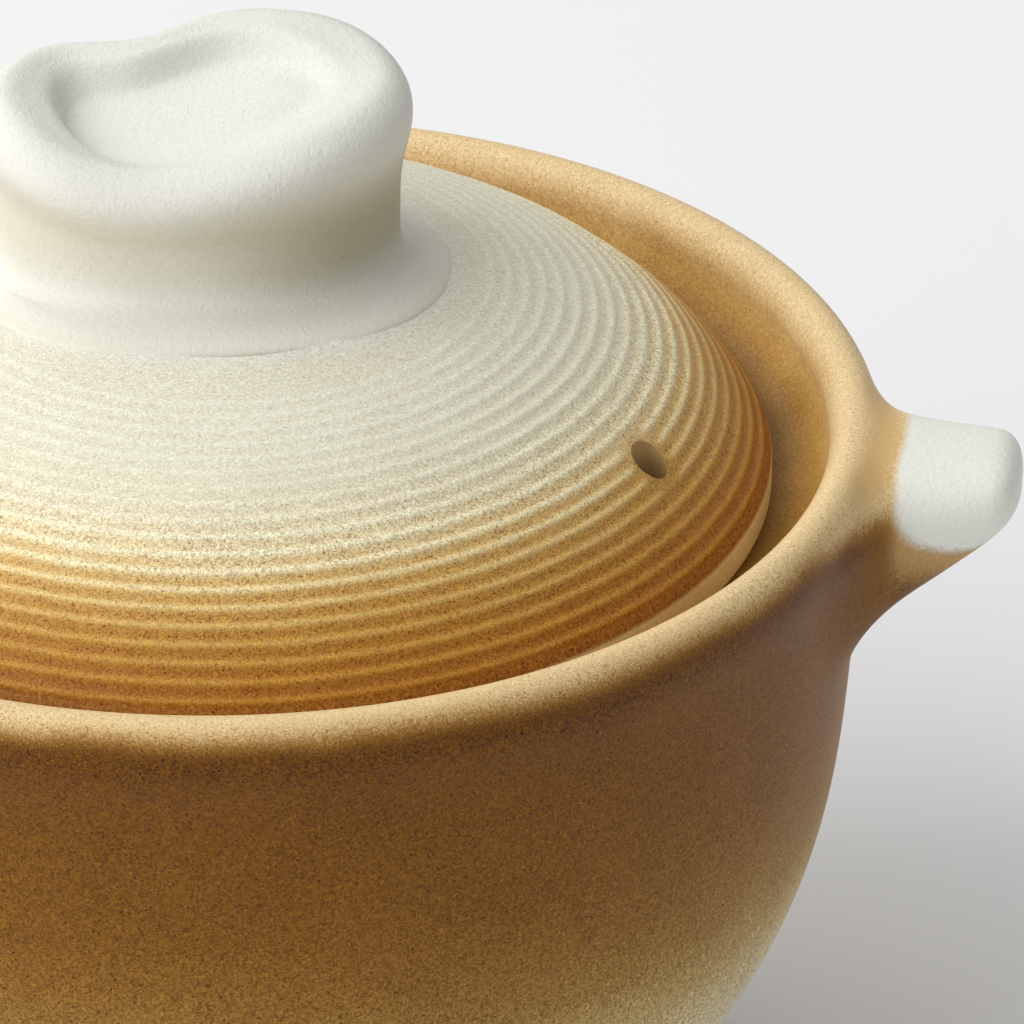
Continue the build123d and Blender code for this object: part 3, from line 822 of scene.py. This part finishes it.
def vent_cutter(bare):
    """What the vent is cut with: a slightly uneven rod that opens out where it leaves the skin."""
    ahead, aside = VENT_OUT
    around = np.linspace(0, 2 * pi, VENT_COLUMNS, endpoint=False)
    uneven = 1 + sum(depth * np.sin(count * around + shift) for count, depth, shift in VENT_WAVES)
    rings = []
    for rise, spread in VENT_RINGS:
        reach = VENT_DIAMETER / 2 * spread * uneven
        out, along = reach * np.cos(around), reach * VENT_STRETCH * np.sin(around)
        x = VENT_X + out * ahead - along * aside
        y = VENT_Y + out * aside + along * ahead
        rings.append(np.stack([x, y, dome(np.hypot(x, y)) + rise], -1))
    rings = np.stack(rings)
    ends = [rings[0].mean(0), rings[-1].mean(0)]
    points = np.concatenate([rings.reshape(-1, 3), ends])
    cutter = mesh_piece("vent_cutter", points, turned_faces(len(rings), VENT_COLUMNS))
    cutter.data.materials.append(bare)
    return cutter


def ridge_rule():
    """The node tree that raises throwing ridges on a lid, by how far each point lies from the first one."""
    tree = bpy.data.node_groups.new("throwing_ridges", "GeometryNodeTree")
    names = ("Pitch", "Depth", "Length", "Fade", "Wobble", "Seed", "Vent X", "Vent Y")
    kinds = {"Geometry": "Geometry", **dict.fromkeys(names, "Float"), "Glaze": "Material"}
    given = {
        name: tree.interface.new_socket(name=name, in_out="INPUT", socket_type="NodeSocket" + kind)
        for name, kind in kinds.items()
    }
    tree.interface.new_socket(name="Geometry", in_out="OUTPUT", socket_type="NodeSocketGeometry")
    entry = tree.nodes.new("NodeGroupInput")
    numbers = [Signal(tree, entry.outputs[name]) for name in names]
    pitch, depth, length, fade, wobble, seed, vent_x, vent_y = numbers
    glaze = Signal(tree, entry.outputs["Glaze"])
    shape = Signal(tree, entry.outputs["Geometry"])
    along = shape.node("GeometryNodeInputNamedAttribute", {"data_type": "FLOAT"}, {"Name": "along"})
    place = shape.node("GeometryNodeInputPosition").scaled(1 / MM)
    shift = shape.node("ShaderNodeCombineXYZ", None, {0: seed, 1: seed, 2: seed})
    moved = place.node("ShaderNodeVectorMath", {"operation": "ADD"}, {0: place, 1: shift})
    stray = (moved.noise(RIDGE_STRAY_SIZE) - 0.5) * wobble
    turn = (along / pitch + stray) * (2 * pi)
    crest = (0.5 - turn.math("COSINE") * 0.5) ** RIDGE_POWER
    growth = (along / length * (2 - 2 * RIDGE_FIRST_SHARE) + RIDGE_FIRST_SHARE).least(1.0)
    inside = (along / fade).least((length - along) / fade).least(1.0).most(0.0)
    x, y = place.parts()[:2]
    from_vent = ((x - vent_x) ** 2.0 + (y - vent_y) ** 2.0).math("SQRT")
    shown = inside * from_vent.rise(*VENT_SMOOTH)
    strength = (moved.noise(RIDGE_PATCH_SIZE) * RIDGE_STRENGTH[1] + RIDGE_STRENGTH[0]) * growth * shown
    height = crest * strength * depth
    offset = shape.node("GeometryNodeInputNormal").scaled(height * MM)
    raised = shape.node("GeometryNodeSetPosition", None, {"Geometry": shape, "Offset": offset})
    values = {"Geometry": raised, "Name": "ridge", "Value": crest * shown}
    kept = shape.node("GeometryNodeStoreNamedAttribute", {"data_type": "FLOAT", "domain": "POINT"}, values)
    real = shape.node("GeometryNodeRealizeInstances", None, {"Geometry": kept})
    glazed = shape.node("GeometryNodeSetMaterial", None, {"Geometry": real, "Material": glaze})
    last = tree.nodes.new("NodeGroupOutput")
    tree.links.new(glazed.socket, last.inputs["Geometry"])
    return tree, given


def settle_modifiers(piece):
    """Works the piece's modifiers into its mesh."""
    ready = piece.evaluated_get(bpy.context.evaluated_depsgraph_get())
    mesh = bpy.data.meshes.new_from_object(ready)
    piece.modifiers.clear()
    piece.data = mesh


def make_lid(glaze, bare):
    """The domed lid with its throwing ridges and its vent."""
    profile, first, last, ridge_length = lid_profile()
    lengths = chords(profile)
    along = lengths - lengths[first]
    along[last + 1:] = ridge_length + 1
    profile, along = profile[1:-1], along[1:-1]
    around = np.linspace(0, 2 * pi, LID_COLUMNS, endpoint=False)
    rings = turned_points(profile, around)
    poles = [(0, 0, profile[0, 1]), (0, 0, profile[-1, 1])]
    points = np.concatenate([rings.reshape(-1, 3), poles])
    along = np.concatenate([np.repeat(along, LID_COLUMNS), [along[0], along[-1]]])
    faces = [face[::-1] for face in turned_faces(len(profile), LID_COLUMNS)]
    piece = mesh_piece("ridged_lid", points, faces, {"along": along})
    tree, given = ridge_rule()
    ridges = piece.modifiers.new("throwing_ridges", "NODES")
    ridges.node_group = tree
    sizes = {
        "Pitch": ridge_length / round(ridge_length / RIDGE_PITCH), "Depth": RIDGE_DEPTH,
        "Length": ridge_length, "Fade": RIDGE_FADE, "Wobble": RIDGE_WOBBLE, "Seed": RIDGE_SEED,
        "Glaze": glaze,
        "Vent X": VENT_X, "Vent Y": VENT_Y,
    }
    for name, value in sizes.items():
        ridges[given[name].identifier] = value
    settle_modifiers(piece)
    cutter = vent_cutter(bare)
    vent = piece.modifiers.new("vent", "BOOLEAN")
    vent.operation = "DIFFERENCE"
    vent.object = cutter
    vent.solver = "EXACT"
    vent.material_mode = "TRANSFER"
    settle_modifiers(piece)
    bpy.data.objects.remove(cutter)
    piece.data.set_sharp_from_angle(angle=radians(SHARP_ANGLE))
    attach(piece, "lid")
    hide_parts("lid")


# The knob

def knob_plan(shares):
    """Plan points of the knob from shares of half its length and width."""
    shares = np.array(shares)[:, :2]
    return shares * np.array([KNOB_LENGTH / 2, KNOB_WIDTH / 2]) + np.array([KNOB_OFFSET, 0])


def grown(plan, amounts):
    """A closed plan outline moved outwards by an amount at each of its points."""
    along = np.roll(plan, -1, 0) - np.roll(plan, 1, 0)
    out = np.stack([along[:, 1], -along[:, 0]], -1)
    return plan + out / np.linalg.norm(out, axis=1)[:, None] * np.reshape(amounts, (-1, 1))


def level_ring(plan, heights):
    """A ring over a plan outline, at one height or at one for each point."""
    return np.column_stack([plan, np.broadcast_to(heights, len(plan))])


def between(first, second, shares):
    """A ring between two others, at one share of the way in plan and another in height."""
    return first + (second - first) * np.array([shares[0], shares[0], shares[1]])


def flange_rings(neck, top):
    """The soft oval edge of the flange, which follows the dome that it stands on."""
    middle = np.array([FLANGE_OFFSET, 0])
    half = np.array([FLANGE_LENGTH / 2, FLANGE_WIDTH / 2])
    toward = (neck - middle) / half
    toward = toward / np.linalg.norm(toward, axis=1)[:, None]
    rings = []
    for spread, rise in FLANGE_RING_SHARES:
        plan = middle + toward * (half - FLANGE_EDGE * spread)
        reach = np.hypot(plan[:, 0], plan[:, 1])
        rings.append(level_ring(plan, dome(np.maximum(reach, FLANGE_MIDDLE_REACH)) + rise))
    edge = rings[-1]
    lift = np.maximum(0, edge[:, 2] + FLANGE_CLIMB - top)
    foot = level_ring(grown(neck, NECK_FILLET * NECK_RING_SHARES[0][0]), top + lift)
    rings.append(between(edge, foot, FLANGE_SLOPE_SHARES))
    return rings, lift


def knob_rings():
    """Closed rings of the knob from under its flange, over the lip and down into the thumb hollow."""
    base = float(dome(FLANGE_LENGTH / 2))
    foot = base + FLANGE_THICKNESS
    neck = knob_plan(NECK_SHARES)
    crest = knob_plan(CREST_SHARES)
    floor = knob_plan(FLOOR_SHARES)
    high = base + np.array(CREST_SHARES)[:, 2] * KNOB_HEIGHT
    rim = base + np.array(HOLLOW_SHARES)[:, 2] * KNOB_HEIGHT
    middle = base + HOLLOW_FLOOR_SHARE * KNOB_HEIGHT
    low = middle + HOLLOW_CLIMB_SHARES[0] * (floor[:, 0] - KNOB_OFFSET) + HOLLOW_CLIMB_SHARES[1] * floor[:, 1]
    lip = KNOB_LIP * np.array(LIP_SHARES)
    rings, lift = flange_rings(neck, foot)
    for (out, up), share in zip(NECK_RING_SHARES, NECK_LIFT_SHARES):
        rings.append(level_ring(grown(neck, NECK_FILLET * out), foot + NECK_FILLET * up + lift * share))
    shoulder = level_ring(neck, foot + NECK_FILLET)
    widest = level_ring(grown(crest, lip), high - KNOB_LIP_DROP)
    crest_ring = level_ring(crest, high)
    hollow_ring = level_ring(knob_plan(HOLLOW_SHARES), rim)
    floor_ring = level_ring(floor, low)
    heart = floor_ring.mean(0)
    return rings + [
        between(shoulder, widest, SHOULDER_RING_SHARES),
        widest,
        level_ring(grown(crest, lip * LIP_TURN_SHARES[0]), high - KNOB_LIP_DROP * LIP_TURN_SHARES[1]),
        crest_ring,
        between(crest_ring, hollow_ring, CREST_RING_SHARES),
        hollow_ring,
        between(hollow_ring, floor_ring, HOLLOW_RING_SHARES),
        floor_ring,
        floor_ring * 0.5 + heart * 0.5 - np.array([0, 0, HOLLOW_DISH]),
    ]


def make_knob(glaze):
    """The knob on its flange, smooth between the rings, turned as it was luted."""
    rings = np.array(knob_rings())
    stations = np.arange(rings.shape[1] + 1.0)
    around = np.linspace(0, rings.shape[1], KNOB_COLUMNS, endpoint=False)
    smooth = np.array([
        along_spline(stations, ring, slopes(stations, ring, closed=True), around) for ring in rings
    ])
    gaps = np.linalg.norm(np.diff(smooth, axis=0), axis=2).mean(1) ** 0.5
    knots = np.concatenate([[0], np.cumsum(gaps)])
    skin_grid = along_spline(knots, smooth, slopes(knots, smooth), np.linspace(0, knots[-1], KNOB_ROWS))
    poles = [skin_grid[0].mean(0), skin_grid[-1].mean(0) - np.array([0, 0, HOLLOW_DISH / 3])]
    points = np.concatenate([skin_grid.reshape(-1, 3), poles])
    turn = radians(KNOB_TURN)
    points[:, :2] = points[:, :2] @ np.array([[cos(turn), sin(turn)], [-sin(turn), cos(turn)]])
    piece = mesh_piece("pressed_knob", points, turned_faces(KNOB_ROWS, KNOB_COLUMNS))
    piece.data.materials.append(glaze)
    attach(piece, "lid")
    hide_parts("lid_knob")


# Finishes

def finish(name):
    """A new material, and a place in millimetres in its tree."""
    material = bpy.data.materials.new(name)
    material.use_nodes = True
    start = Signal(material.node_tree)
    return material, start.node("ShaderNodeTexCoord", None, None, "Object").scaled(1 / MM)


def surface(material, colour, roughness, height, relief):
    """The material with its colour, its roughness and a fine relief in millimetres."""
    tree = material.node_tree
    shader = tree.nodes["Principled BSDF"]
    shader.inputs["Specular IOR Level"].default_value = GLOSS_LEVEL
    bump = height.node("ShaderNodeBump", None, {"Strength": 1.0, "Distance": relief * MM, "Height": height})
    for name, value in {"Base Color": colour, "Roughness": roughness, "Normal": bump}.items():
        feed(tree, shader.inputs[name], value)
    return material


def grains(place):
    """A glaze's coarse grain, and its whole speckle, both about nought."""
    coarse = place.noise(*GRAIN) - 0.5
    fine = place.noise(*FINE_GRAIN) - 0.5
    return coarse, coarse + fine * 0.5


def pot_finish():
    """Brown glaze under a cream lip, amber and cream towards the foot, with off-white ear tips."""
    material, place = finish("glaze_brown_to_cream")
    beyond = place.parts()[0].math("ABSOLUTE") - WHITE_FROM
    fall = place.attribute("drop")
    drop = fall - fall.rise(0.0, 3.0) * beyond.rise(-13.0, -2.0) * EAR_CREAM_DROP
    grain, speckle = grains(place)
    broad = place.noise(17.0, 3.0) - 0.5
    wander = grain * (drop.rise(-1.0, 1.5) * 7.0 + 3.0) + broad * 3.0
    # The ramp's inside stops darken towards the ledge: painted shade in the gutter under the lid
    colour = (drop + wander).ramp(POT_GLAZE_AND_GUTTER_SHADE)
    mottle = drop.rise(0.0, 4.0) * 1.6 + drop.rise(-0.5, 1.5) * drop.rise(10.0, 4.0) * 1.2 + 1.1
    colour = colour.shaded(speckle * mottle + broad * 0.25 + 1.0, POT_WARMTH)
    # Amber beside the white glaze, and in a band along the top of each ear
    above = place.attribute("above")
    ragged = place.attribute("white") + grain * 2.4 * (1 - above.rise(1.0, 6.0) * 0.6) + broad * 1.5
    spread = beyond + broad * 3.0
    near = (ragged + grain * 4.0).rise(-EAR_AMBER_REACH, -1.0) * spread.rise(-3.0, 1.0) * drop.rise(-0.5, 1.0)
    colour = colour.towards(EAR_AMBER, near * EAR_AMBER_SHARE)
    spread = spread + grain * 5.0
    band = spread.rise(-8.0, -4.0) * spread.rise(1.0, -2.5) * fall.rise(-0.5, 1.0)
    band = band * (fall + grain * 3.0).rise(5.0, 1.8)
    colour = colour.towards(EAR_AMBER, band * EAR_BAND_SHARE)
    # Thick glaze in the valley beside each ear
    valley = beyond.rise(-7.0, -2.2) * beyond.rise(0.8, -1.6) * drop.rise(1.5, 4.0) * drop.rise(24.0, 8.0)
    colour = colour.towards(EAR_VALLEY, valley * EAR_VALLEY_SHARE)
    covered = ragged.rise(-0.9, 0.7)
    colour = colour.towards(place.plain(EAR_WHITE).shaded(grain * 0.1 + 1.0), covered)
    peel = place.noise(1.6, 2.0) + grain * 0.5 + (place.noise(0.8, 2.0) * 2.2 + 1.6) * covered
    roughness = covered * (TIP_ROUGHNESS - POT_ROUGHNESS) + grain * 0.2 + POT_ROUGHNESS
    return surface(material, colour, roughness, peel, POT_RELIEF)


def beyond_flange(place):
    """How far a place lies from the knob's middle, where 1 is the outline of the flange."""
    x, y, _ = place.parts()
    turn = radians(KNOB_TURN)
    along = (x * cos(turn) + y * sin(turn) - FLANGE_OFFSET) / (FLANGE_LENGTH / 2)
    across = (y * cos(turn) - x * sin(turn)) / (FLANGE_WIDTH / 2)
    return (along * along + across * across).math("SQRT")


def lid_finish():
    """Cream glaze at the crown, which runs into sandy amber and brown over the ridges, whose crests are
    lighter: partly thinner glaze, partly painted highlight and shade.
    """
    material, place = finish("glaze_cream_to_amber")
    x, y, z = place.parts()
    radius = (x * x + y * y).math("SQRT")
    back = (x * cos(radians(PALE_AND_SHEEN_SIDE)) + y * sin(radians(PALE_AND_SHEEN_SIDE))) / radius
    ridge = place.attribute("ridge") - 0.3
    grain, speckle = grains(place)
    broad = place.noise(16.0, 3.0) - 0.5
    outer = radius.rise(54.0, 70.0)
    # On the outer ridges the crests shift paler and the grooves darker: partly thinner glaze on the crests,
    # partly painted highlight and shade of the ridges
    wander = grain * 16.0 + broad * 5.0 - ridge * outer * 3.4
    # Paler towards the back: partly thinner glaze, partly a painted reflection of the pale surroundings where
    # the lid is seen at a grazing angle
    colour = (radius + wander - back.rise(0.2, 0.95) * 9.0).ramp(LID_COLOURS)
    edge = (z + grain * 0.8).rise(LID_TOP_EDGE + 0.3, LID_TOP_EDGE - 0.6) * radius.rise(70.0, 80.0)
    colour = colour.towards(LID_EDGE_COLOUR, edge)
    spilt = (beyond_flange(place) + grain * 0.12).rise(1.10, 1.0)
    colour = colour.towards(KNOB_WHITE, spilt * 0.7)
    under = z.rise(SEAT_HEIGHT + 0.4, SEAT_HEIGHT)
    mottle = outer * 1.7 + 0.9 - edge * 1.9
    # Lighter crests (partly thinner glaze, partly painted highlight), broad random tone, and painted shade on
    # the lid's foot where it sits on the ledge
    crest_tone_and_painted_shade = ridge * (outer * 0.18 + 0.05) + broad * 0.1 + 1.0 - under * 0.1
    colour = colour.shaded(speckle * mottle + crest_tone_and_painted_shade, LID_WARMTH)
    peel = place.noise(1.4, 2.0) + grain * 0.6
    return surface(material, colour, grain * 0.2 + LID_ROUGHNESS, peel, LID_RELIEF)


def knob_finish():
    """Matte eggshell glaze with tiny pits, warmer and darker on the neck: partly thinner glaze, partly
    painted shade under the lip, with more painted shade on the neck's right side.
    """
    material, place = finish("glaze_eggshell")
    grain = place.noise(0.7, 3.0, 0.6, 1.0) - 0.5
    broad = place.noise(12.0, 2.0) - 0.5
    pits = place.noise(0.9, 1.0).rise(0.3, 0.22)
    x, _, height = place.parts()
    foot = LID_HIGH.z
    # The neck between flange and lip is warmer and darker: partly thinner glaze, partly painted shade under
    # the lip; towards the right side it gets more painted shade
    thin_glaze_and_shade = height.rise(foot - 1.0, foot + 8.0) * height.rise(foot + 25.0, foot + 10.0)
    edge = (beyond_flange(place) + grain * 0.12).rise(0.90, 1.0)
    colour = place.plain(KNOB_WHITE).towards(KNOB_NECK_THIN_AND_SHADE, thin_glaze_and_shade)
    colour = colour.towards(KNOB_NECK_SHADE, thin_glaze_and_shade * x.rise(-8.0, 22.0))
    colour = colour.towards(LID_COLOURS[0][1], edge * 0.8)
    colour = colour.shaded(grain * 0.16 + broad * 0.05 + 1.0 - pits * 0.04)
    peel = place.noise(1.1, 3.0, 0.6, 1.0) + grain * 0.5 - pits * 0.25
    return surface(material, colour, KNOB_ROUGHNESS, peel, KNOB_RELIEF)


def bare_finish():
    """Unglazed clay inside the vent."""
    material, place = finish("bare_clay")
    grain = place.noise(0.4, 3.0, 0.7) - 0.5
    colour = place.plain(BARE_CLAY).shaded(grain * 0.4 + 1.0)
    return surface(material, colour, CLAY_ROUGHNESS, grain, CLAY_RELIEF)


# The studio

def make_floor():
    """A plain pale floor, far wider than the pot."""
    reach = FLOOR_REACH / MM
    corners = [(-reach, -reach, 0), (reach, -reach, 0), (reach, reach, 0), (-reach, reach, 0)]
    floor = mesh_piece("floor", corners, [(0, 1, 2, 3)])
    material = bpy.data.materials.new("pale_floor")
    material.use_nodes = True
    shader = material.node_tree.nodes["Principled BSDF"]
    shader.inputs["Base Color"].default_value = tint(*FLOOR_COLOUR)
    shader.inputs["Roughness"].default_value = FLOOR_ROUGHNESS
    shader.inputs["Specular IOR Level"].default_value = FLOOR_GLOSS
    floor.data.materials.append(material)


def make_world():
    """Even white light from all round, seen as a pale backdrop."""
    world = bpy.data.worlds.new("studio")
    world.use_nodes = True
    tree = world.node_tree
    back = tree.nodes["Background"]
    back.inputs["Color"].default_value = (1, 1, 1, 1)
    path = tree.nodes.new("ShaderNodeLightPath")
    kinds = ("Is Camera Ray", "Is Glossy Ray", "Is Transmission Ray")
    camera, gloss, glass = (Signal(tree, path.outputs[kind]) for kind in kinds)
    strength = camera.most(gloss).most(glass) * (BACKDROP_LEVEL - WORLD_LEVEL) + WORLD_LEVEL
    tree.links.new(strength.socket, back.inputs["Strength"])
    bpy.context.scene.world = world


def heading(azimuth, height):
    """The direction so many degrees to the left of straight back, and so many up."""
    a, e = radians(azimuth), radians(height)
    return Vector((-sin(a) * cos(e), cos(a) * cos(e), sin(e)))


def stand(name, data, place, aim, front):
    """A lamp or camera at a place, turned so that an axis of its own points along the aim."""
    made = bpy.data.objects.new(name, data)
    made.location = place
    made.rotation_mode = "QUATERNION"
    made.rotation_quaternion = aim.to_track_quat(front, "Y")
    bpy.context.scene.collection.objects.link(made)
    return made


def make_lamp(name, azimuth, height, power):
    """A square soft lamp that shines at the lid."""
    lamp = bpy.data.lights.new(name, "AREA")
    lamp.shape = "SQUARE"
    lamp.size = LAMP_SIZE
    lamp.energy = power
    away = heading(azimuth, height)
    lit = stand(name, lamp, Vector((0, 0, RIM_HEIGHT * MM)) + away * LAMP_DISTANCE, away, "Z")
    lit.visible_camera = False


def make_camera():
    """The camera of the photograph: above the front, a little to the right."""
    data = bpy.data.cameras.new("camera")
    data.lens = CAMERA_LENS
    data.sensor_width = CAMERA_SENSOR
    ahead = heading(CAMERA_AZIMUTH, -CAMERA_TILT)
    bpy.context.scene.camera = stand("camera", data, CAMERA_PLACE, ahead, "-Z")


make_pot(pot_finish())
make_lid(lid_finish(), bare_finish())
make_knob(knob_finish())
make_floor()
make_world()
make_lamp("key_lamp", *KEY_LAMP)
make_lamp("back_lamp", *BACK_LAMP)
make_camera()
bpy.context.scene.view_settings.view_transform = "Standard"
